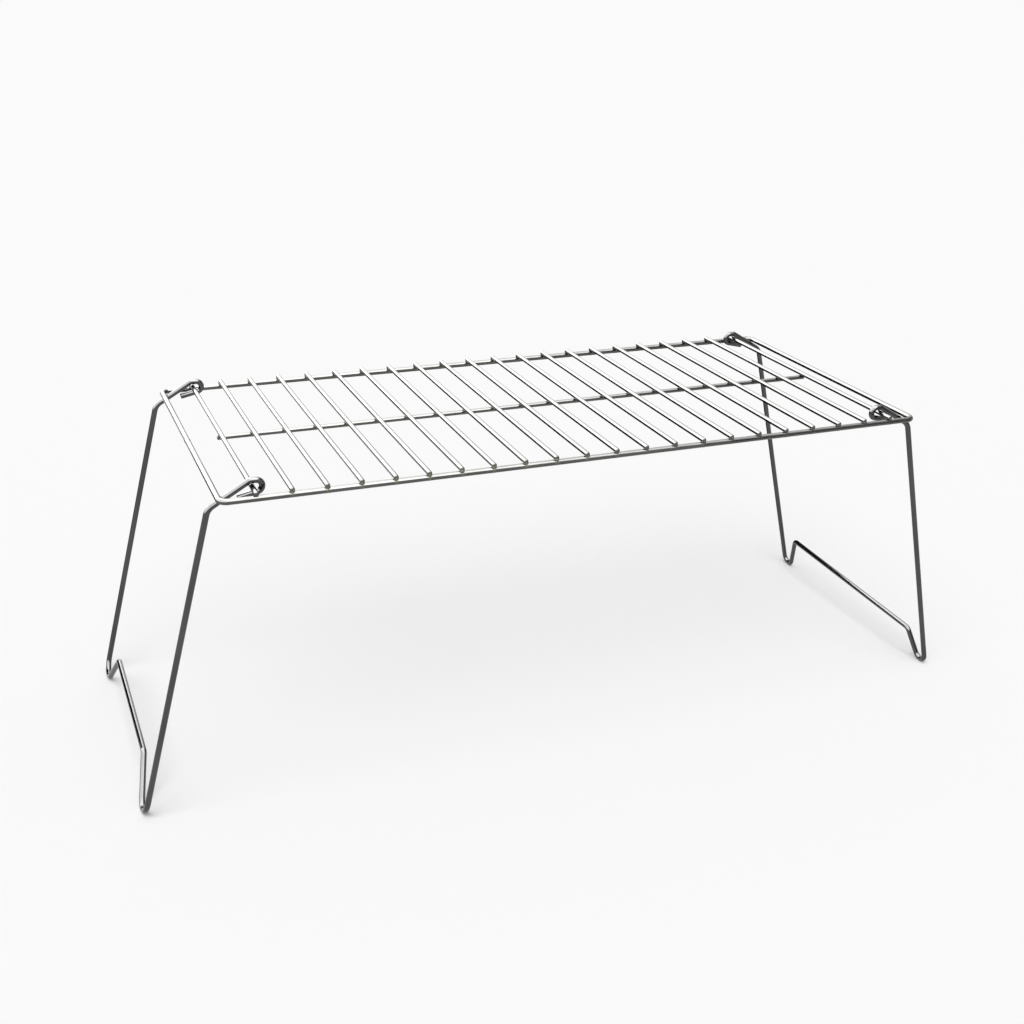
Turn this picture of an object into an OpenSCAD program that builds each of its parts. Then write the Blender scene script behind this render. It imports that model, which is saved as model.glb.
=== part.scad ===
// Folding wire cooling rack: a welded wire top that stands on two folding wire legs.
// Millimetres, +Z up. It stands on the plane z = 0 with its middle over the origin.
// The length runs along X and the front faces -Y.

/* [Rack] */
// Length of the frame over its two end rails
rack_l = 614; // [450:1:900]
// Width of the frame over its two long rails
rack_w = 279; // [200:1:450]
// Height of the top of the cross wires above the table
rack_h = 274; // [180:1:400]
// Number of cross wires, with the two hinge wires counted in
cross_count = 22; // [10:1:30]

/* [Wires] */
// Diameter of the frame wire
frame_d = 4.8; // [3.5:0.1:6]
// Diameter of the cross wires
cross_d = 4; // [3:0.1:5]
// Diameter of the centre rod
rod_d = 4; // [3:0.1:5]
// Diameter of the leg wire
leg_d = 4.8; // [3.5:0.1:6]

/* [Frame] */
// Centre-line radius of the frame's four corners
corner_r = 6.5; // [5:0.5:10]
// How far two crossing wires sink into each other at a weld
weld_set = 0.4; // [0.2:0.05:0.8]
// How far each end of a cross wire stops short of the frame's outer edge
cross_inset = 0.2; // [0:0.1:1.5]
// How far the centre rod runs on past the middle of each hinge wire
rod_over = 2.5; // [2:0.5:8]

/* [Legs] */
// Lean of the uprights away from the vertical, in degrees
leg_splay = 14.5; // [8:0.1:20]
// Free play of a leg along its hinge wire, to each side
side_play = 6.2; // [5:0.1:12]
// How far the legs stand pushed along their hinge wires, towards the back
leg_shift = 4; // [0:0.5:4]
// How far the shoulder's corner point lies outside the middle of the end rail
shoulder_out = 7; // [5:0.5:16]
// Centre-line radius of the shoulder bend
shoulder_r = 11; // [6:0.5:12]

/* [Feet] */
// Centre-line radius of the U-bends that the left leg stands on
left_foot_r = 13; // [5:0.5:15]
// Centre-line radius of the U-bends that the right leg stands on
right_foot_r = 7; // [5:0.5:15]
// Lean of the left leg's risers towards the middle, in degrees
left_lean = 41; // [10:1:45]
// Lean of the right leg's risers towards the middle, in degrees
right_lean = 23; // [10:1:45]

/* [Bars] */
// Rise of the left bar's front end above the bottom of the feet, along the leg
left_bar_front = 32; // [24:0.5:60]
// Rise of the left bar's back end
left_bar_back = 32; // [24:0.5:60]
// Rise of the right bar's front end
right_bar_front = 28; // [24:0.5:60]
// Rise of the right bar's back end
right_bar_back = 37.5; // [24:0.5:60]
// Centre-line radius of the bend from a riser into the bar
riser_r = 6; // [4:0.5:10]

/* [Hooks] */
// Gap between a leg's hook and the hinge wire inside it
hook_gap = 0.3; // [0.2:0.05:0.6]
// Level length on top of the hook, past the hinge wire
hook_flat = 3; // [1:0.5:6]
// How far the hook is closed past a half turn, in degrees
hook_close = 18; // [8:1:19]
// Length of the straight tail after the hook
tail_l = 15.5; // [8:0.5:16]
// Gap between a leg's arm and the end rail that stops it
stop_gap = 0.5; // [0.4:0.05:0.8]

/* [Hidden] */
$fn = 48;
// The ball at a joint of two lengths: the gap that it bridges and how far it stands proud of the wire
ball_gap = 0.1;
ball_step = 0.02;
steel = [0.72, 0.73, 0.74];
dark_steel = [0.34, 0.35, 0.36];

// Heights of the wires' middles
cross_z = rack_h - cross_d / 2;
frame_z = cross_z - (cross_d + frame_d) / 2 + weld_set;
rod_z = cross_z - (cross_d + rod_d) / 2 + weld_set;

// Plan of the frame, at the middle of its wire
rail_x = (rack_l - frame_d) / 2;
rail_y = (rack_w - frame_d) / 2;
long_run = 2 * (rail_x - corner_r);
end_run = 2 * (rail_y - corner_r);

// Cross wires: the gaps next to the end rails equal the gaps between the wires
pitch = 2 * rail_x / (cross_count + 1);
hinge_x = rail_x - pitch;
cross_l = rack_w - 2 * cross_inset;
rod_l = 2 * (hinge_x + rod_over);

// The arm of a leg touches the hook's circle from above and passes below the end rail
hook_r = (cross_d + leg_d) / 2 + hook_gap;
stop_r = (frame_d + leg_d) / 2 + stop_gap;
rail_drop = cross_z - frame_z;
arm_slope = atan2(rail_drop, pitch) + asin((hook_r + stop_r) / norm([pitch, rail_drop]));
arm_start_x = hinge_x + hook_r * sin(arm_slope);
arm_start_z = cross_z + hook_r * cos(arm_slope);

// The shoulder, where the arm turns down into the upright
shoulder_turn = 90 - leg_splay - arm_slope;
shoulder_trim = shoulder_r * tan(shoulder_turn / 2);
shoulder_x = rail_x + shoulder_out;
arm_run = (shoulder_x - arm_start_x) / cos(arm_slope);
shoulder_z = arm_start_z - arm_run * sin(arm_slope);
arm_l = arm_run - shoulder_trim;

// The uprights, from the shoulder's corner point down to the bottom of the foot
leg_run = (shoulder_z - leg_d / 2) / cos(leg_splay);
upright_y = rail_y - (frame_d + leg_d) / 2 - side_play;

// A riser leans from its foot up to the corner point at the end of the bar: its length, and the
// corner point's distance from the leg's middle
function riser_run(lift, foot_r, lean) = (lift - foot_r * (1 - sin(lean))) / cos(lean);
function riser_y(lift, foot_r, lean) =
    upright_y - foot_r * (1 + cos(lean)) - riser_run(lift, foot_r, lean) * sin(lean);

// Names of the cross wires from left to right: the outermost two carry the legs
function cross_name(i) =
    i == 1 ? "left_hinge_wire" :
    i == cross_count ? "right_hinge_wire" :
    str("cross_wire_", i < 10 ? "0" : "", i);

// A straight length of wire along +Z, and then what follows it
module feed(d, length) {
    cylinder(d = d, h = length);
    translate([0, 0, length]) children();
}

// A bend of the wire towards +X on a centre-line radius, and then what follows it.
// A ball a hair thicker than the wire closes its skin where the arc meets the next length.
module bend(d, radius, angle) {
    translate([radius, 0, 0]) {
        rotate(180, [0, 1, 1])
            rotate_extrude(angle = angle - ball_gap / radius * 180 / PI)
            translate([radius, 0]) circle(d = d);
        rotate([0, angle, 0]) translate([-radius, 0, 0]) {
            sphere(d = d + 2 * ball_step);
            children();
        }
    }
}

// A turn of the wire about its own length, which sets where the next bend goes
module turn(angle) {
    rotate([0, 0, angle]) children();
}

// One long rail and one end rail of the frame, with the corner after each
module half_frame() {
    translate([-long_run / 2, -rail_y, frame_z])
        rotate([0, 90, 0]) turn(90)
        feed(frame_d, long_run)
        bend(frame_d, corner_r, 90)
        feed(frame_d, end_run)
        bend(frame_d, corner_r, 90);
}

module perimeter_frame() {
    color(steel) for (half_turn = [0, 180]) rotate([0, 0, half_turn]) half_frame();
}

module cross_wire(i) {
    color(steel)
        translate([(i - (cross_count + 1) / 2) * pitch, 0, cross_z])
        rotate([90, 0, 0]) cylinder(d = cross_d, h = cross_l, center = true);
}

module centre_rod() {
    color(steel) translate([0, 0, rod_z]) rotate([0, 90, 0]) cylinder(d = rod_d, h = rod_l, center = true);
}

// Half of a right leg, bent from the middle of the bar outwards to the tail of the hook.
// The bar's half is bar_half long and climbs outwards by the angle slope.
module half_leg(foot_r, lean, lift, bar_half, slope) {
    riser_bend = 90 - lean + slope;
    riser_trim = riser_r * tan(riser_bend / 2);
    rotate([-90, 90 - leg_splay, 0])
        rotate([0, -slope, 0])
        translate([0, 0, ball_gap])
        feed(leg_d, bar_half - ball_gap - riser_trim)
        bend(leg_d, riser_r, riser_bend)
        feed(leg_d, riser_run(lift, foot_r, lean) - riser_trim)
        turn(180) bend(leg_d, foot_r, 180 - lean)
        feed(leg_d, leg_run - shoulder_trim - foot_r)
        turn(-90) bend(leg_d, shoulder_r, shoulder_turn)
        feed(leg_d, arm_l)
        bend(leg_d, hook_r, arm_slope)
        feed(leg_d, hook_flat)
        bend(leg_d, hook_r, 180 + hook_close - arm_slope)
        feed(leg_d, tail_l);
}

// A right leg, bent in one piece. The bar runs straight from its front end to its back end.
module leg(foot_r, lean, front_lift, back_lift) {
    front_y = riser_y(front_lift, foot_r, lean);
    back_y = riser_y(back_lift, foot_r, lean);
    rise = back_lift - front_lift;
    bar_half = norm([front_y + back_y, rise]) / 2;
    slope = atan2(rise, front_y + back_y);
    down = leg_run - (front_lift + back_lift) / 2;
    translate([
        shoulder_x + down * sin(leg_splay),
        (back_y - front_y) / 2,
        shoulder_z - down * cos(leg_splay)
    ]) {
        sphere(d = leg_d + 2 * ball_step);
        half_leg(foot_r, lean, back_lift, bar_half, slope);
        mirror([0, 1, 0]) half_leg(foot_r, lean, front_lift, bar_half, -slope);
    }
}

module right_leg() {
    color(dark_steel)
        translate([0, leg_shift, 0])
        leg(right_foot_r, right_lean, right_bar_front, right_bar_back);
}

module left_leg() {
    color(dark_steel)
        translate([0, leg_shift, 0]) mirror([1, 0, 0])
        leg(left_foot_r, left_lean, left_bar_front, left_bar_back);
}

perimeter_frame();
centre_rod();
left_leg();
right_leg();
for (i = [1 : cross_count]) cross_wire(i);
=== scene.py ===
"""Looks of a folding wire cooling rack: smooth bent wires, weld beads and chrome plating.

Lengths are in metres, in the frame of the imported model: +X along the rack, +Y to the back, +Z up.
"""

import logging
import math
import random
from dataclasses import dataclass
from enum import Enum

import bmesh
import bpy
from mathutils import Matrix, Vector

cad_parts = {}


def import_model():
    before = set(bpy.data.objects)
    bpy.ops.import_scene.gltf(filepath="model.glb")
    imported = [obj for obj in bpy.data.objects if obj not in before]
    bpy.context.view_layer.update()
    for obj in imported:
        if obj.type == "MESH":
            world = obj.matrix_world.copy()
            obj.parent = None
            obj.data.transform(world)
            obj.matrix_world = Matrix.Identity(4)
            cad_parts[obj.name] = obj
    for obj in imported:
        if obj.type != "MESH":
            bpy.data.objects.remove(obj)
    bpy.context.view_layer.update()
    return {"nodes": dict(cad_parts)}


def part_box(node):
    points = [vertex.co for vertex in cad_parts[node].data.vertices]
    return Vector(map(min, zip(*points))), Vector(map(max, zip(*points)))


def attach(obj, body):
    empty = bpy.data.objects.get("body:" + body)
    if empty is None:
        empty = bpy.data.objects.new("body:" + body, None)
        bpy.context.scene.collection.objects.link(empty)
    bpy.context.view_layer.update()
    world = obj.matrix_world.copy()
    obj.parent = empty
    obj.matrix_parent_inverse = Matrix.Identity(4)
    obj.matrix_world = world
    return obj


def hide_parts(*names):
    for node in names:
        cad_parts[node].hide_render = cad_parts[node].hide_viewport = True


MM = 0.001
QUARTER = math.radians(90)
HALF = math.radians(180)
MERGE = 0.002 * MM
NOISE_RANGE = (0.3, 0.7)
SKIN_LAYER = "wire_skin"
# The weld heat layer holds the real weld tint and a fade from left to right along the rack, which is painted
# light.
WELD_HEAT_AND_LIGHT_LAYER = "weld_heat_and_painted_light"
LOG = logging.getLogger("cooling_rack")

Colour = tuple[float, float, float]


class Side(Enum):
    """The two ends of the rack."""

    LEFT = "left"
    RIGHT = "right"


class Face(Enum):
    """The material slots of a wire's mesh."""

    PLATED = 0
    CUT = 1


class Shader:
    """A material's node tree, wired up one node at a time."""

    def __init__(self, name: str) -> None:
        """Starts a material with an empty node tree.

        Args:
            name: The material's name.
        """
        self.material = bpy.data.materials.new(name)
        self.material.use_nodes = True
        self.tree = self.material.node_tree
        self.tree.nodes.clear()

    def add(self, kind: str, inputs: dict[str | int, object] | None = None,
            **settings: str) -> bpy.types.Node:
        """Adds a node.

        Args:
            kind: The node's type.
            inputs: Socket names or numbers, each with a plain value or the socket that feeds it.
            settings: The node's own properties.

        Returns:
            The new node.
        """
        node = self.tree.nodes.new(kind)
        for key, value in settings.items():
            setattr(node, key, value)
        for key, value in (inputs or {}).items():
            if isinstance(value, bpy.types.NodeSocket):
                self.tree.links.new(value, node.inputs[key])
            else:
                node.inputs[key].default_value = value
        return node

    def noise(self, vector: bpy.types.NodeSocket, scale: float, detail: float = 2.0) -> bpy.types.NodeSocket:
        """Adds a noise texture and returns its grey value.

        Args:
            vector: The coordinates that it reads.
            scale: Its features per unit of those coordinates.
            detail: How many finer layers it has.

        Returns:
            The socket of the grey value.
        """
        node = self.add("ShaderNodeTexNoise", {"Vector": vector, "Scale": scale, "Detail": detail})
        return node.outputs["Fac"]

    def span(self, value: bpy.types.NodeSocket, source: tuple[float, float],
             target: tuple[float, float]) -> bpy.types.NodeSocket:
        """Maps a value from one range to another, clamped at both ends.

        Args:
            value: The value that is mapped.
            source: The two ends of its range.
            target: The values at those two ends.

        Returns:
            The socket of the mapped value.
        """
        node = self.add("ShaderNodeMapRange", {"Value": value, "From Min": source[0], "From Max": source[1],
                                               "To Min": target[0], "To Max": target[1]})
        return node.outputs["Result"]

    def blend(self, share: bpy.types.NodeSocket, first: Colour | bpy.types.NodeSocket,
              second: Colour | bpy.types.NodeSocket) -> bpy.types.NodeSocket:
        """Mixes two colours.

        Args:
            share: How much of the second colour shows.
            first: The colour at a share of 0.
            second: The colour at a share of 1.

        Returns:
            The socket of the mixed colour.
        """
        node = self.add("ShaderNodeMix", data_type="RGBA")
        self.tree.links.new(share, node.inputs["Factor"])
        for key, colour in (("A", first), ("B", second)):
            socket = next(s for s in node.inputs if s.name == key and s.type == "RGBA")
            if isinstance(colour, bpy.types.NodeSocket):
                self.tree.links.new(colour, socket)
            else:
                socket.default_value = (*colour, 1.0)
        return next(s for s in node.outputs if s.type == "RGBA")

    def join(self, first: bpy.types.NodeSocket, second: bpy.types.NodeSocket | float,
             operation: str = "ADD") -> bpy.types.NodeSocket:
        """Joins two values with a sum, product or other plain operation.

        Args:
            first: The first value.
            second: The second value.
            operation: What is done with them.

        Returns:
            The socket of the result.
        """
        return self.add("ShaderNodeMath", {0: first, 1: second}, operation=operation).outputs[0]

    def finish(self, surface: bpy.types.Node) -> bpy.types.Material:
        """Sends a shader to the material's output.

        Args:
            surface: The node of the finished surface.

        Returns:
            The material.
        """
        self.add("ShaderNodeOutputMaterial", {"Surface": surface.outputs[0]})
        return self.material


@dataclass(frozen=True)
class ChromePlating:
    """Chrome plating on drawn steel wire, dulled by heat beside the welds, more at the left as painted light,
    and rubbed under the feet.
    """

    name: str
    base: Colour
    clouded: Colour
    heated: Colour
    rubbed: Colour
    roughness: float = 0.13
    heated_roughness: float = 0.35
    heated_dulling: float = 0.9
    pitted_roughness: float = 0.2
    rubbed_roughness: float = 0.25
    line_gloss: float = 0.03
    line_dulling: float = 0.05
    line_strength: float = 0.08
    line_depth: float = 0.03 * MM
    pit_share: float = 0.6
    pit_tint: float = 0.5
    mottle_low: float = 0.75
    shine: float = 0.1
    draw_line: float = 0.25 * MM
    draw_length: float = 14 * MM
    cloud: float = 30 * MM
    cloud_range: tuple[float, float] = (0.35, 0.7)
    pit: float = 0.7 * MM
    pit_range: tuple[float, float] = (0.66, 0.74)
    mottle: float = 2 * MM
    rub_top: float = 3.6 * MM
    rub_full: float = 0.9 * MM

    def material(self) -> bpy.types.Material:
        """Builds the plating.

        Returns:
            A material that reads the wire's own skin coordinates and its weld heat.
        """
        shader = Shader(self.name)
        place = shader.add("ShaderNodeTexCoord").outputs["Object"]
        skin = shader.add("ShaderNodeAttribute", attribute_name=SKIN_LAYER).outputs["Vector"]
        heat = shader.add("ShaderNodeAttribute", attribute_name=WELD_HEAT_AND_LIGHT_LAYER).outputs["Fac"]
        clouds = shader.noise(place, 1 / self.cloud, 3.0)
        pits = shader.span(shader.noise(place, 1 / self.pit, 1.0), self.pit_range, (0.0, self.pit_share))
        stretched = shader.add("ShaderNodeMapping", {
            "Vector": skin,
            "Scale": (1 / self.draw_line, 1 / self.draw_line, 1 / self.draw_length)}).outputs[0]
        lines = shader.noise(stretched, 1.0, 2.0)
        mottle = shader.span(shader.noise(place, 1 / self.mottle), NOISE_RANGE, (self.mottle_low, 1.0))
        patchy = shader.join(heat, mottle, "MULTIPLY")
        height = shader.add("ShaderNodeSeparateXYZ", {"Vector": place}).outputs["Z"]
        rub = shader.span(height, (self.rub_top, self.rub_full), (0.0, 1.0))
        colour = shader.blend(shader.span(clouds, self.cloud_range, (0.0, 1.0)), self.base, self.clouded)
        colour = shader.blend(shader.join(pits, self.pit_tint, "MULTIPLY"), colour, self.clouded)
        # The weld dulling fades from left to right along the rack: that fade is painted light, on top of the
        # real weld tint.
        colour = shader.blend(patchy, colour, self.heated)
        colour = shader.blend(rub, colour, self.rubbed)
        rough = shader.span(lines, NOISE_RANGE, (self.roughness - self.line_gloss,
                                                 self.roughness + self.line_dulling))
        rough = shader.join(rough, shader.join(pits, self.pitted_roughness, "MULTIPLY"))
        rough = shader.join(rough, shader.join(patchy, self.heated_roughness, "MULTIPLY"))
        rough = shader.join(rough, shader.join(rub, self.rubbed_roughness, "MULTIPLY"))
        metal = shader.span(patchy, (0.0, 1.0), (1.0, 1.0 - self.heated_dulling))
        bump = shader.add("ShaderNodeBump", {
            "Height": lines, "Strength": self.line_strength, "Distance": self.line_depth})
        return shader.finish(shader.add("ShaderNodeBsdfPrincipled", {
            "Base Color": colour, "Metallic": metal, "Roughness": rough, "Specular IOR Level": self.shine,
            "Normal": bump.outputs[0]}))


@dataclass(frozen=True)
class BurntSteel:
    """Dull steel at a cut wire end or a weld bead, tinted where the weld burnt it, with the tint fading from
    left to right along the rack as painted light.
    """

    name: str
    base: Colour
    browned: Colour
    unburnt_and_shaded: Colour
    roughness: float = 0.45
    smoother: float = 0.1
    rougher: float = 0.15
    grain: float = 0.6 * MM
    patch_grains: float = 4.0
    patch_range: tuple[float, float] = (0.35, 0.65)
    grain_strength: float = 0.35
    grain_depth: float = 0.1 * MM
    metal: float = 0.1
    shine: float = 0.15

    def material(self) -> bpy.types.Material:
        """Builds the dull steel.

        Returns:
            A material with a fine uneven grain, which reads the weld heat.
        """
        shader = Shader(self.name)
        place = shader.add("ShaderNodeTexCoord").outputs["Object"]
        heat = shader.add("ShaderNodeAttribute", attribute_name=WELD_HEAT_AND_LIGHT_LAYER).outputs["Fac"]
        patches = shader.noise(place, 1 / (self.patch_grains * self.grain), 3.0)
        grain = shader.noise(place, 1 / self.grain, 3.0)
        colour = shader.blend(shader.span(patches, self.patch_range, (0.0, 1.0)), self.base, self.browned)
        # Low heat gives the dark unburnt colour: on the welds towards the right of the rack that darkness is
        # painted shade.
        colour = shader.blend(heat, self.unburnt_and_shaded, colour)
        rough = shader.span(grain, NOISE_RANGE, (self.roughness - self.smoother,
                                                 self.roughness + self.rougher))
        bump = shader.add("ShaderNodeBump", {
            "Height": grain, "Strength": self.grain_strength, "Distance": self.grain_depth})
        return shader.finish(shader.add("ShaderNodeBsdfPrincipled", {
            "Base Color": colour, "Metallic": self.metal, "Roughness": rough,
            "Specular IOR Level": self.shine, "Normal": bump.outputs[0]}))


@dataclass(frozen=True)
class WireEnd:
    """The shape of a cut wire end: distances from its tip, each with its share of the wire's girth."""

    steps: tuple[tuple[float, float], ...]

    @property
    def length(self) -> float:
        """The distance from the tip to the full wire."""
        return self.steps[-1][0]


SHEARED = WireEnd(((0.0, 0.84), (0.35 * MM, 1.0)))
TUMBLED = WireEnd(((0.0, 0.6), (0.2 * MM, 0.82), (0.5 * MM, 0.95), (0.9 * MM, 1.0)))


class WireBender:
    """Draws one round wire as a bending machine does: a ring of vertices is fed, bent and cut."""

    SIDES = 28
    STEP = math.radians(7.5)
    BURR = 0.1 * MM
    DISH = 0.12 * MM
    WELD_EDGE = 0.35

    def __init__(self, mesh: bmesh.types.BMesh, diameter: float, start: Matrix) -> None:
        """Puts the first ring of a wire into a mesh.

        Args:
            mesh: The mesh that the wire is drawn in.
            diameter: The wire's diameter.
            start: The place of the first ring: the wire runs along its +Z and bends towards its +X.
        """
        self.mesh = mesh
        self.pose = start.copy()
        self.drawn = 0.0
        self.girth = 1.0
        vectors = mesh.verts.layers.float_vector
        floats = mesh.verts.layers.float
        self.skin = vectors.get(SKIN_LAYER) or vectors.new(SKIN_LAYER)
        self.heat = floats.get(WELD_HEAT_AND_LIGHT_LAYER) or floats.new(WELD_HEAT_AND_LIGHT_LAYER)
        made = bmesh.ops.create_circle(mesh, segments=self.SIDES, radius=diameter / 2, matrix=start)
        self.ring = made["verts"]
        inverse = start.inverted()
        for vert in self.ring:
            local = inverse @ vert.co
            vert[self.skin] = Vector((local.x, local.y, self.drawn))

    def rim(self) -> list[bmesh.types.BMEdge]:
        """Gives the edges of the ring that the wire ends in now."""
        ring = set(self.ring)
        return [e for e in {e for v in self.ring for e in v.link_edges} if set(e.verts) <= ring]

    def advance(self, step: Matrix, length: float, girth: float = 1.0, heat: float = 0.0) -> None:
        """Extrudes the ring to its next place.

        Args:
            step: The move to the next place, in the wire's own frame.
            length: The length of wire that the move takes.
            girth: The next ring's size, as a share of the wire's diameter.
            heat: How strongly the next ring is tinted by a weld.
        """
        old = set(self.ring)
        made = bmesh.ops.extrude_edge_only(self.mesh, edges=self.rim())["geom"]
        fresh = [g for g in made if isinstance(g, bmesh.types.BMVert)]
        for face in (g for g in made if isinstance(g, bmesh.types.BMFace)):
            face.material_index = Face.PLATED.value
        place = self.pose @ step
        share = girth / self.girth
        move = place @ Matrix.Diagonal((share, share, 1.0, 1.0)) @ self.pose.inverted()
        bmesh.ops.transform(self.mesh, matrix=move, verts=fresh)
        self.drawn += length
        for vert in fresh:
            behind = next(e.other_vert(vert) for e in vert.link_edges if e.other_vert(vert) in old)
            vert[self.skin] = Vector((*behind[self.skin][:2], self.drawn))
            vert[self.heat] = heat
        self.ring = fresh
        self.pose = place
        self.girth = girth

    def feed(self, length: float, girth: float = 1.0, heat: float = 0.0) -> None:
        """Draws a straight length of wire, up to a ring of the given girth and heat."""
        self.advance(Matrix.Translation((0, 0, length)), length, girth, heat)

    def bend(self, radius: float, angle: float) -> None:
        """Bends the wire towards its own +X.

        Args:
            radius: The radius at the middle of the wire.
            angle: The angle of the bend, in radians.
        """
        count = max(2, math.ceil(angle / self.STEP))
        hub = Matrix.Translation((radius, 0, 0))
        step = hub @ Matrix.Rotation(angle / count, 4, "Y") @ hub.inverted()
        for _ in range(count):
            self.advance(step, radius * angle / count)

    def turn(self, angle: float) -> None:
        """Turns the bending plane about the wire's own length, by an angle in radians."""
        self.pose = self.pose @ Matrix.Rotation(angle, 4, "Z")

    def weld(self, reach: float, swell: float, heat: float) -> None:
        """Draws the stretch round a weld, tinted and swollen most in its middle.

        Args:
            reach: The length of the tinted stretch on each side of the weld.
            swell: The girth at the weld itself.
            heat: How strongly the weld itself is tinted.
        """
        halfway = (1 + swell) / 2
        for girth, share in ((halfway, self.WELD_EDGE), (swell, 1.0), (halfway, self.WELD_EDGE), (1.0, 0.0)):
            self.feed(reach / 2, girth, share * heat)

    def cap(self) -> None:
        """Closes the end ring with a sheared face that is dished a little."""
        rim = self.rim()
        face = bmesh.ops.contextual_create(self.mesh, geom=rim)["faces"][0]
        face.normal_update()
        for edge in rim:
            edge.smooth = False
        inset = bmesh.ops.inset_region(self.mesh, faces=[face], thickness=self.BURR, depth=-self.DISH)
        for sheared in (*inset["faces"], face):
            sheared.material_index = Face.CUT.value

    def start_cut(self, end: WireEnd, heat: float = 0.0) -> None:
        """Turns the first ring into the tip of a cut end and draws that end.

        Args:
            end: The shape of the cut end.
            heat: How strongly a weld tints it.
        """
        tip = end.steps[0][1]
        shrink = self.pose @ Matrix.Diagonal((tip, tip, 1.0, 1.0)) @ self.pose.inverted()
        bmesh.ops.transform(self.mesh, matrix=shrink, verts=self.ring)
        self.girth = tip
        ring = self.ring
        self.cap()
        self.ring = ring
        for vert in ring:
            vert[self.heat] = heat
        for (behind, _), (ahead, girth) in zip(end.steps, end.steps[1:]):
            self.feed(ahead - behind, girth, heat)

    def end_cut(self, end: WireEnd, heat: float = 0.0) -> None:
        """Ends the wire with a cut end.

        Args:
            end: The shape of the cut end.
            heat: How strongly a weld tints it.
        """
        inwards = end.steps[::-1]
        for (behind, _), (ahead, girth) in zip(inwards, inwards[1:]):
            self.feed(behind - ahead, girth, heat)
        self.cap()


def wire_object(name: str, mesh: bmesh.types.BMesh, plating: bpy.types.Material,
                cut: bpy.types.Material) -> bpy.types.Object:
    """Turns a finished wire mesh into an object.

    Args:
        name: The piece's name.
        mesh: The mesh, which is freed.
        plating: The material of the wire's skin.
        cut: The material of its sheared ends.

    Returns:
        The object, at the origin.
    """
    bmesh.ops.remove_doubles(mesh, verts=mesh.verts, dist=MERGE)
    bmesh.ops.recalc_face_normals(mesh, faces=mesh.faces)
    for face in mesh.faces:
        face.smooth = True
    data = bpy.data.meshes.new(name)
    mesh.to_mesh(data)
    mesh.free()
    data.materials.append(plating)
    data.materials.append(cut)
    piece = bpy.data.objects.new(name, data)
    bpy.context.scene.collection.objects.link(piece)
    return piece


def dress(piece: bpy.types.Object, body: str, slot: str, *nodes: str) -> None:
    """Makes a piece ride on a body and hides the solids that it stands for.

    Args:
        piece: The piece.
        body: The body that carries it.
        slot: Not used.
        nodes: The solids that it replaces.
    """
    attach(piece, body)
    if nodes:
        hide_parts(*nodes)
    LOG.info("%s rides on %s with %d faces", piece.name, body, len(piece.data.polygons))


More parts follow.
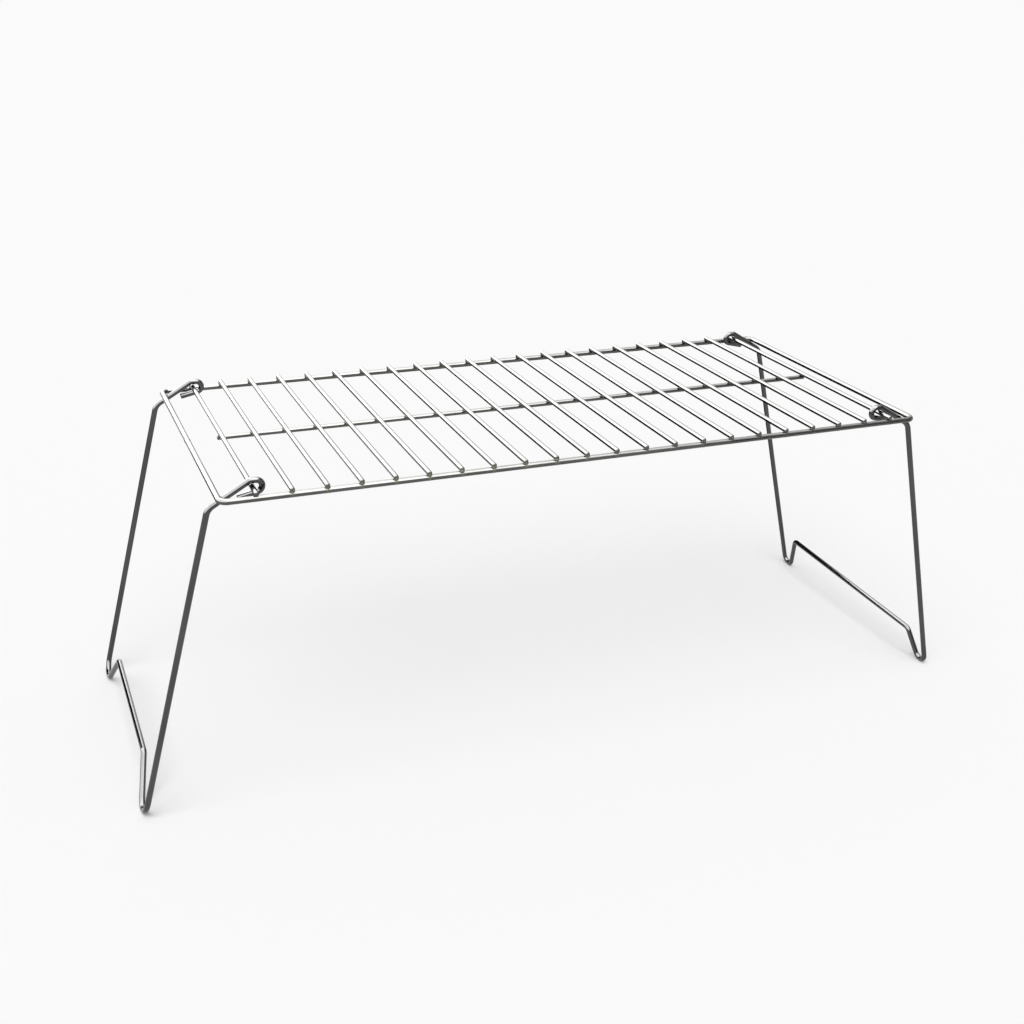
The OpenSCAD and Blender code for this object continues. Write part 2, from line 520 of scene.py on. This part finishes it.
@dataclass
class RackTop:
    """The welded top: the frame loop, the cross wires, the middle rod and their weld beads."""

    plating: bpy.types.Material
    cut: bpy.types.Material
    bead: bpy.types.Material
    wire_names: list[str]
    frame_d: float = 4.8 * MM
    corner_r: float = 6.5 * MM
    weld_reach: float = 2.6 * MM
    rail_reach: float = 2.8 * MM
    weld_swell: float = 1.03
    butt_swell: float = 1.09
    butt_reach: float = 2.2 * MM
    butt_heat: float = 0.4
    end_bead: Vector = Vector((2.1, 1.4, 1.6)) * MM
    end_bead_out: float = 1.2 * MM
    end_bead_up: float = 0.6 * MM
    tip_heat: float = 0.4
    # The next three fields fade the weld tint along the rack: the fade is painted light, lit at the left and
    # shaded at the right.
    painted_lit_x: float = -40 * MM
    painted_shade_x: float = 40 * MM
    painted_shade_heat: float = 0.12
    rod_bead: Vector = Vector((2.1, 2.3, 0.95)) * MM
    bead_wobble: float = 0.12
    bead_drift_mm: float = 0.2
    bead_round: tuple[int, int] = (18, 10)
    bead_melt: float = 0.5
    bead_seed: int = 11

    def __post_init__(self) -> None:
        """Takes the rails' places and the welds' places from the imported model."""
        low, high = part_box("perimeter_frame")
        self.rail_x = high.x - self.frame_d / 2
        self.rail_y = high.y - self.frame_d / 2
        self.rail_z = (low.z + high.z) / 2
        self.rod_low, self.rod_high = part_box("centre_rod")
        boxes = [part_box(name) for name in self.wire_names]
        self.wire_x = [(a.x + b.x) / 2 for a, b in boxes]
        self.wire_low, self.wire_high = boxes[0]
        self.wire_d = self.wire_high.z - self.wire_low.z
        self.wire_z = (self.wire_low.z + self.wire_high.z) / 2

    def weld_burn_and_painted_light_at(self, x: float) -> float:
        """Tells how strongly a weld is tinted: the burnt tint is full at the left and fades to a low share at
        the right, a fade that is painted light, lit at the left and shaded at the right; the two hinge wires
        get none.

        Args:
            x: The place of the weld along the rack.

        Returns:
            The weld's heat, from 0 to 1.
        """
        if x in (self.wire_x[0], self.wire_x[-1]):
            return 0.0
        share = min(max((x - self.painted_lit_x) / (self.painted_shade_x - self.painted_lit_x), 0.0), 1.0)
        return 1.0 + share * (self.painted_shade_heat - 1.0)

    def feed_past(self, bender: WireBender, welds: list[tuple[float, float]], end: float,
                  reach: float) -> None:
        """Feeds a wire straight on, with a tinted stretch at each weld.

        Args:
            bender: The wire that is drawn.
            welds: The distance of each weld from where the wire is now, and its heat.
            end: The distance of the end of the straight.
            reach: The length of the tinted stretch on each side of a weld.
        """
        at = 0.0
        for station, heat in welds:
            bender.feed(station - reach - at)
            bender.weld(reach, self.weld_swell, heat)
            at = station + reach
        bender.feed(end - at)

    def frame_loop(self) -> bpy.types.Object:
        """Bends the frame from one wire, which closes with a butt weld in the middle of the left end rail.

        Returns:
            The frame's object.
        """
        mesh = bmesh.new()
        start = Matrix.Translation((-self.rail_x, 0, self.rail_z)) @ Matrix.Rotation(QUARTER, 4, "X")
        bender = WireBender(mesh, self.frame_d, start)
        bmesh.ops.scale(mesh, vec=(self.butt_swell,) * 3, space=start.inverted(), verts=bender.ring)
        bender.girth = self.butt_swell
        long_run = 2 * (self.rail_x - self.corner_r)
        half_end = self.rail_y - self.corner_r
        front = [(long_run / 2 + x, self.weld_burn_and_painted_light_at(x)) for x in self.wire_x]
        back = [(long_run / 2 - x, self.weld_burn_and_painted_light_at(x)) for x in reversed(self.wire_x)]
        bender.feed(self.butt_reach, 1.0, self.butt_heat)
        bender.feed(self.butt_reach)
        bender.feed(half_end - 2 * self.butt_reach)
        bender.bend(self.corner_r, QUARTER)
        self.feed_past(bender, front, long_run, self.rail_reach)
        bender.bend(self.corner_r, QUARTER)
        bender.feed(2 * half_end)
        bender.bend(self.corner_r, QUARTER)
        self.feed_past(bender, back, long_run, self.rail_reach)
        bender.bend(self.corner_r, QUARTER)
        bender.feed(half_end - 2 * self.butt_reach)
        bender.feed(self.butt_reach, 1.0, self.butt_heat)
        bender.feed(self.butt_reach, self.butt_swell, 1.0)
        return wire_object("frame_loop", mesh, self.plating, self.cut)

    def cross_wire(self, name: str, x: float) -> bpy.types.Object:
        """Draws one cross wire from its front end to its back end.

        Args:
            name: The piece's name.
            x: The place of the wire along the rack.

        Returns:
            The wire's object.
        """
        mesh = bmesh.new()
        front = self.wire_low.y
        heat = self.weld_burn_and_painted_light_at(x)
        start = Matrix.Translation((x, front, self.wire_z)) @ Matrix.Rotation(-QUARTER, 4, "X")
        bender = WireBender(mesh, self.wire_d, start)
        bender.start_cut(TUMBLED, self.tip_heat * heat)
        near = -self.rail_y - front - TUMBLED.length
        bender.feed(near, self.weld_swell)
        self.feed_past(bender, [(self.rail_y, heat)], 2 * self.rail_y, self.rail_reach)
        bender.feed(near, 1.0, self.tip_heat * heat)
        bender.end_cut(TUMBLED, self.tip_heat * heat)
        return wire_object(name, mesh, self.plating, self.cut)

    def middle_rod(self) -> bpy.types.Object:
        """Draws the rod that runs under the cross wires along the middle.

        Returns:
            The rod's object.
        """
        mesh = bmesh.new()
        z = (self.rod_low.z + self.rod_high.z) / 2
        start = Matrix.Translation((self.rod_low.x, 0, z)) @ Matrix.Rotation(QUARTER, 4, "Y")
        bender = WireBender(mesh, self.rod_high.z - self.rod_low.z, start)
        bender.start_cut(SHEARED)
        begun = self.rod_low.x + SHEARED.length
        first = self.wire_x[0] - begun
        bender.feed(first, self.weld_swell)
        bender.feed(self.weld_reach)
        passed = self.wire_x[0] + self.weld_reach
        middle = [(x - passed, self.weld_burn_and_painted_light_at(x)) for x in self.wire_x[1:-1]]
        self.feed_past(bender, middle, self.wire_x[-1] - self.weld_reach - passed, self.weld_reach)
        bender.feed(self.weld_reach, self.weld_swell)
        bender.feed(first)
        bender.end_cut(SHEARED)
        return wire_object("middle_rod", mesh, self.plating, self.cut)

    def bead_row(self, name: str, start: Vector, half: Vector) -> bpy.types.Object:
        """Lays one row of weld beads in the creases between the inner cross wires and what carries them.

        Args:
            name: The piece's name.
            start: The row's height and its place across the rack.
            half: The half sizes of a bead.

        Returns:
            The row's object.
        """
        chance = random.Random(f"{self.bead_seed}{name}")
        around, along = self.bead_round
        drift = self.bead_drift_mm
        mesh = bmesh.new()
        layer = mesh.verts.layers.float.new(WELD_HEAT_AND_LIGHT_LAYER)
        for x in self.wire_x[1:-1]:
            made = bmesh.ops.create_uvsphere(mesh, u_segments=around, v_segments=along, radius=1.0)["verts"]
            for vert in made:
                vert.co *= 1 + self.bead_wobble * (chance.random() - 0.5)
                # The bead's tint fades from left to right along the row as painted light.
                vert[layer] = self.weld_burn_and_painted_light_at(x)
            bmesh.ops.smooth_vert(mesh, verts=made, factor=self.bead_melt,
                                  use_axis_x=True, use_axis_y=True, use_axis_z=True)
            bmesh.ops.scale(mesh, vec=half, verts=made)
            shift = Vector((chance.uniform(-drift, drift), chance.uniform(-drift, drift), 0)) * MM
            bmesh.ops.translate(mesh, vec=start + Vector((x, 0, 0)) + shift, verts=made)
        return wire_object(name, mesh, self.bead, self.bead)

    def build(self) -> None:
        """Makes every piece of the top and dresses it on the rack's body."""
        dress(self.frame_loop(), "rack", "rack_wire", "perimeter_frame")
        dress(self.middle_rod(), "rack", "rack_wire", "centre_rod")
        for number, (node, x) in enumerate(zip(self.wire_names, self.wire_x), 1):
            dress(self.cross_wire(f"top_wire_{number:02d}", x), "rack", "rack_wire", node)
        crease = Vector((0, 0, self.wire_low.z))
        out = Vector((0, self.rail_y + self.end_bead_out, 0))
        up = Vector((0, 0, self.end_bead_up))
        dress(self.bead_row("front_welds", crease - out + up, self.end_bead), "rack", "rack_wire")
        dress(self.bead_row("rod_welds", crease, self.rod_bead), "rack", "rack_wire")
        dress(self.bead_row("back_welds", crease + out + up, self.end_bead), "rack", "rack_wire")


@dataclass
class FoldingLeg:
    """One folding leg, bent from a single wire. The two legs differ in their feet and their bars."""

    side: Side
    plating: bpy.types.Material
    cut: bpy.types.Material
    foot_r: float
    lean: float
    bar_front: float
    bar_back: float
    wire_d: float = 4.8 * MM
    splay: float = math.radians(14.5)
    shift: float = 4 * MM
    side_play: float = 6.2 * MM
    shoulder_out: float = 7 * MM
    shoulder_r: float = 11 * MM
    riser_r: float = 6 * MM
    hook_gap: float = 0.3 * MM
    hook_flat: float = 3 * MM
    hook_close: float = math.radians(18)
    tail: float = 15.5 * MM
    stop_gap: float = 0.5 * MM

    def __post_init__(self) -> None:
        """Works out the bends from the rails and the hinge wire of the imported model."""
        low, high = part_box("right_hinge_wire")
        hinge_d = high.z - low.z
        hinge = Vector(((low.x + high.x) / 2, 0, (low.z + high.z) / 2))
        rail_low, rail_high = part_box("perimeter_frame")
        rail_d = RackTop.frame_d
        rail_x = rail_high.x - rail_d / 2
        drop = hinge.z - (rail_low.z + rail_high.z) / 2
        pitch = rail_x - hinge.x
        self.hook_r = (hinge_d + self.wire_d) / 2 + self.hook_gap
        stop_r = (rail_d + self.wire_d) / 2 + self.stop_gap
        slope = math.atan2(drop, pitch) + math.asin((self.hook_r + stop_r) / math.hypot(pitch, drop))
        self.arm_slope = slope
        arm_x = hinge.x + self.hook_r * math.sin(slope)
        arm_z = hinge.z + self.hook_r * math.cos(slope)
        self.shoulder_turn = QUARTER - self.splay - slope
        trim = self.shoulder_r * math.tan(self.shoulder_turn / 2)
        self.shoulder_x = rail_x + self.shoulder_out
        arm_run = (self.shoulder_x - arm_x) / math.cos(slope)
        self.shoulder_z = arm_z - arm_run * math.sin(slope)
        self.arm = arm_run - trim
        self.leg_run = (self.shoulder_z - self.wire_d / 2) / math.cos(self.splay)
        self.upright = self.leg_run - trim - self.foot_r
        self.upright_y = rail_high.y - rail_d - self.wire_d / 2 - self.side_play

    def riser_run(self, lift: float) -> float:
        """Returns a riser's length up to the corner point of the bar, for that corner's lift."""
        return (lift - self.foot_r * (1 - math.sin(self.lean))) / math.cos(self.lean)

    def riser_y(self, lift: float) -> float:
        """Returns how far the corner point of the bar lies from the leg's middle, for that corner's lift."""
        inset = self.foot_r * (1 + math.cos(self.lean)) + self.riser_run(lift) * math.sin(self.lean)
        return self.upright_y - inset

    def half(self, mesh: bmesh.types.BMesh, hand: int, place: Matrix) -> None:
        """Bends one half of a right leg, from the middle of the bar to the tail of the hook.

        Args:
            mesh: The leg's mesh.
            hand: 1 for the half towards +Y, -1 for the other.
            place: The place of the whole leg.
        """
        at_back = hand > 0 if self.side is Side.RIGHT else hand < 0
        lift, other = (self.bar_back, self.bar_front) if at_back else (self.bar_front, self.bar_back)
        reach = self.riser_y(lift)
        other_reach = self.riser_y(other)
        slope = math.atan2(lift - other, reach + other_reach)
        run = math.hypot(reach + other_reach, lift - other) / 2
        down = self.leg_run - (lift + other) / 2
        middle = Vector((self.shoulder_x + down * math.sin(self.splay),
                         hand * (reach - other_reach) / 2,
                         self.shoulder_z - down * math.cos(self.splay)))
        start = (place @ Matrix.Translation(middle)
                 @ Matrix.Rotation(QUARTER - self.splay, 4, "Y")
                 @ Matrix.Rotation(-hand * QUARTER, 4, "X")
                 @ Matrix.Rotation(-slope, 4, "Y"))
        riser_bend = QUARTER - self.lean + slope
        trim = self.riser_r * math.tan(riser_bend / 2)
        bender = WireBender(mesh, self.wire_d, start)
        bender.feed(run - trim)
        bender.bend(self.riser_r, riser_bend)
        bender.feed(self.riser_run(lift) - trim)
        bender.turn(HALF)
        bender.bend(self.foot_r, HALF - self.lean)
        bender.feed(self.upright)
        bender.turn(-hand * QUARTER)
        bender.bend(self.shoulder_r, self.shoulder_turn)
        bender.feed(self.arm)
        bender.bend(self.hook_r, self.arm_slope)
        bender.feed(self.hook_flat)
        bender.bend(self.hook_r, HALF + self.hook_close - self.arm_slope)
        bender.feed(self.tail - SHEARED.length)
        bender.end_cut(SHEARED)

    def build(self) -> None:
        """Makes the leg and dresses it on its own body. The left one is turned round."""
        place = Matrix.Translation((0, self.shift, 0))
        if self.side is Side.LEFT:
            place = place @ Matrix.Rotation(HALF, 4, "Z")
        mesh = bmesh.new()
        for hand in (1, -1):
            self.half(mesh, hand, place)
        body = f"{self.side.value}_leg"
        dress(wire_object(f"{self.side.value}_stand", mesh, self.plating, self.cut), body, "leg_wire", body)


@dataclass
class PhotoCamera:
    """The camera at the photograph's place, for a square picture."""

    eye: Vector = Vector((-0.45018, -1.03407, 0.63997))
    heading: float = math.radians(22.78)
    dip: float = math.radians(24.184)
    roll: float = math.radians(1.638)
    lens_mm: float = 46.76
    sensor_mm: float = 36.0
    nearest: float = 0.01
    farthest: float = 200.0
    shift_x: float = -0.0025
    shift_y: float = 0.03

    def build(self) -> None:
        """Makes the camera and gives it to the scene."""
        data = bpy.data.cameras.new("photo_camera")
        data.sensor_fit = "HORIZONTAL"
        data.sensor_width = self.sensor_mm
        data.lens = self.lens_mm
        data.shift_x = self.shift_x
        data.shift_y = self.shift_y
        data.clip_start = self.nearest
        data.clip_end = self.farthest
        camera = bpy.data.objects.new("photo_camera", data)
        camera.matrix_world = (Matrix.Translation(self.eye)
                               @ Matrix.Rotation(-self.heading, 4, "Z")
                               @ Matrix.Rotation(QUARTER - self.dip, 4, "X")
                               @ Matrix.Rotation(self.roll, 4, "Z"))
        bpy.context.scene.collection.objects.link(camera)
        bpy.context.scene.camera = camera


@dataclass(frozen=True)
class Shade:
    """A shaded side of the light tent: it fades towards a direction, down to a share of the full glow."""

    towards: Vector
    start: float
    end: float
    share: float


@dataclass(frozen=True)
class Card:
    """An upright studio card that shows in reflections alone."""

    name: str
    left: float
    right: float
    y: float
    top: float
    grey: float


@dataclass
class Studio:
    """A plain pale floor under soft even light, with a light tent and cards that show in the chrome."""

    floor_half: float = 60.0
    floor_colour: Colour = (0.95, 0.95, 0.95)
    white_level: float = 0.955
    sky_level: float = 0.512
    key_level: float = 1.8
    key_spread: float = math.radians(50)
    key_lean: float = math.radians(30)
    key_heading: float = math.radians(35)
    tent_radius: float = 12.0
    tent_panels: tuple[int, int] = (48, 24)
    tent_rim: float = 0.29
    tent_tilt: Vector = Vector((-0.15, 0.1, 1.0))
    tent_glow: float = 11.0
    tent_shades: tuple[Shade, ...] = (
        Shade(Vector((1.0, 0.35, 0.0)), 0.23, 0.43, 0.5),
        Shade(Vector((1.0, 0.35, 0.0)), 0.45, 0.85, 0.3),
        Shade(Vector((1.0, -0.35, 0.0)), 0.56, 0.7, 0.12),
        Shade(Vector((-1.0, -0.5, 0.0)), 0.2, 0.45, 0.65))
    card_set: tuple[Card, ...] = (
        Card("left_card", -0.56, -0.39, 0.2, 0.25, 0.03),
        Card("right_card", -0.2, 0.46, 0.2, 0.25, 0.03),
        Card("front_card", 0.5, 1.5, -0.8, 0.65, 0.45))

    def floor(self) -> None:
        """Lays the floor."""
        mesh = bmesh.new()
        bmesh.ops.create_grid(mesh, x_segments=1, y_segments=1, size=self.floor_half)
        shader = Shader("floor_paper")
        paper = shader.add("ShaderNodeBsdfDiffuse", {"Color": (*self.floor_colour, 1.0)})
        material = shader.finish(paper)
        wire_object("floor", mesh, material, material)

    def mirror_only(self, prop: bpy.types.Object) -> None:
        """Makes a studio prop show in reflections alone.

        Args:
            prop: The prop.
        """
        prop.visible_camera = False
        prop.visible_diffuse = False
        prop.visible_transmission = False
        prop.visible_shadow = False

    def tent(self) -> None:
        """Hangs the light tent, a dome with an open rim that is brightest overhead and at the left back."""
        mesh = bmesh.new()
        around, along = self.tent_panels
        bmesh.ops.create_uvsphere(mesh, u_segments=around, v_segments=along, radius=self.tent_radius)
        bmesh.ops.bisect_plane(mesh, geom=[*mesh.verts, *mesh.edges, *mesh.faces],
                               plane_co=(0, 0, self.tent_rim * self.tent_radius), plane_no=self.tent_tilt,
                               clear_inner=True)
        shader = Shader("tent_cloth")
        place = shader.add("ShaderNodeTexCoord").outputs["Object"]
        glow = None
        for shade in self.tent_shades:
            across = shader.add("ShaderNodeVectorMath", {0: place, 1: shade.towards / self.tent_radius},
                                operation="DOT_PRODUCT").outputs["Value"]
            share = shader.span(across, (shade.start, shade.end), (1.0, shade.share))
            glow = shader.join(share, glow or self.tent_glow, "MULTIPLY")
        cloth = shader.add("ShaderNodeEmission", {"Color": (1.0, 1.0, 1.0, 1.0), "Strength": glow})
        material = shader.finish(cloth)
        material.cycles.emission_sampling = "NONE"
        self.mirror_only(wire_object("light_tent", mesh, material, material))

    def cards(self) -> None:
        """Stands low dark cards behind the legs and a grey one at the front right, which the wires mirror."""
        for card in self.card_set:
            mesh = bmesh.new()
            corners = ((card.left, 0.0), (card.right, 0.0), (card.right, card.top), (card.left, card.top))
            bmesh.ops.contextual_create(mesh, geom=[mesh.verts.new((x, card.y, z)) for x, z in corners])
            shader = Shader(card.name)
            paper = shader.add("ShaderNodeBsdfDiffuse", {"Color": (card.grey, card.grey, card.grey, 1.0)})
            material = shader.finish(paper)
            self.mirror_only(wire_object(card.name, mesh, material, material))

    def key(self) -> None:
        """Hangs the broad soft key light, above and to the front left."""
        data = bpy.data.lights.new("key_light", "SUN")
        data.energy = self.key_level
        data.angle = self.key_spread
        lamp = bpy.data.objects.new("key_light", data)
        turned = Matrix.Rotation(-self.key_heading, 4, "Z")
        lamp.matrix_world = turned @ Matrix.Rotation(self.key_lean, 4, "X")
        bpy.context.scene.collection.objects.link(lamp)

    def sky(self) -> None:
        """Sets a white world for the camera and the metal, and an even fill for the floor."""
        world = bpy.data.worlds.new("white_room")
        world.use_nodes = True
        tree = world.node_tree
        tree.nodes.clear()
        path = tree.nodes.new("ShaderNodeLightPath")
        seen = tree.nodes.new("ShaderNodeMath")
        seen.operation = "MAXIMUM"
        tree.links.new(path.outputs["Is Camera Ray"], seen.inputs[0])
        tree.links.new(path.outputs["Is Glossy Ray"], seen.inputs[1])
        through = tree.nodes.new("ShaderNodeMath")
        through.operation = "MAXIMUM"
        tree.links.new(seen.outputs[0], through.inputs[0])
        tree.links.new(path.outputs["Is Transmission Ray"], through.inputs[1])
        level = tree.nodes.new("ShaderNodeMapRange")
        level.inputs["To Min"].default_value = self.sky_level
        level.inputs["To Max"].default_value = self.white_level
        tree.links.new(through.outputs[0], level.inputs["Value"])
        glow = tree.nodes.new("ShaderNodeBackground")
        glow.inputs["Color"].default_value = (1.0, 1.0, 1.0, 1.0)
        tree.links.new(level.outputs["Result"], glow.inputs["Strength"])
        output = tree.nodes.new("ShaderNodeOutputWorld")
        tree.links.new(glow.outputs[0], output.inputs["Surface"])
        bpy.context.scene.world = world

    def build(self) -> None:
        """Sets up the floor, the lights and the picture's plain colour transform."""
        self.floor()
        self.tent()
        self.cards()
        self.key()
        self.sky()
        bpy.context.scene.view_settings.view_transform = "Standard"


def main() -> None:
    """Builds the camera, the rack, its legs and the studio, in that order."""
    logging.basicConfig(level=logging.INFO)
    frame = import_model()
    PhotoCamera().build()
    # Both chrome base colours are painted dark reflection: they are set far darker than bright chrome, so the
    # wires look as if they mirrored dark surroundings.
    plating = ChromePlating("rack_chrome", base=(0.11, 0.11, 0.107), clouded=(0.09, 0.09, 0.087),
                            heated=(0.15, 0.15, 0.12), rubbed=(0.2, 0.2, 0.2)).material()
    # The legs' plating is the rack's chrome made darker still: painted shade on a copy of the same finish.
    shaded_leg_plating = ChromePlating("leg_chrome_painted_darker", base=(0.09, 0.09, 0.09), clouded=(0.075, 0.075, 0.075),
                                heated=(0.12, 0.12, 0.1), rubbed=(0.2, 0.2, 0.2)).material()
    cut = BurntSteel("sheared_end", base=(0.17, 0.168, 0.135), browned=(0.12, 0.115, 0.09),
                     unburnt_and_shaded=(0.08, 0.08, 0.078)).material()
    bead = BurntSteel("weld_bead", base=(0.16, 0.158, 0.13), browned=(0.11, 0.107, 0.085),
                      unburnt_and_shaded=(0.07, 0.07, 0.069), roughness=0.5).material()
    wires = [name for name in frame["nodes"] if name.endswith("hinge_wire") or name.startswith("cross_wire")]
    wires.sort(key=lambda name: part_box(name)[0].x)
    RackTop(plating, cut, bead, wires).build()
    FoldingLeg(Side.LEFT, shaded_leg_plating, cut, foot_r=13 * MM, lean=math.radians(41),
               bar_front=32 * MM, bar_back=32 * MM).build()
    FoldingLeg(Side.RIGHT, shaded_leg_plating, cut, foot_r=7 * MM, lean=math.radians(23),
               bar_front=28 * MM, bar_back=37.5 * MM).build()
    Studio().build()


if __name__ == "__main__":
    main()
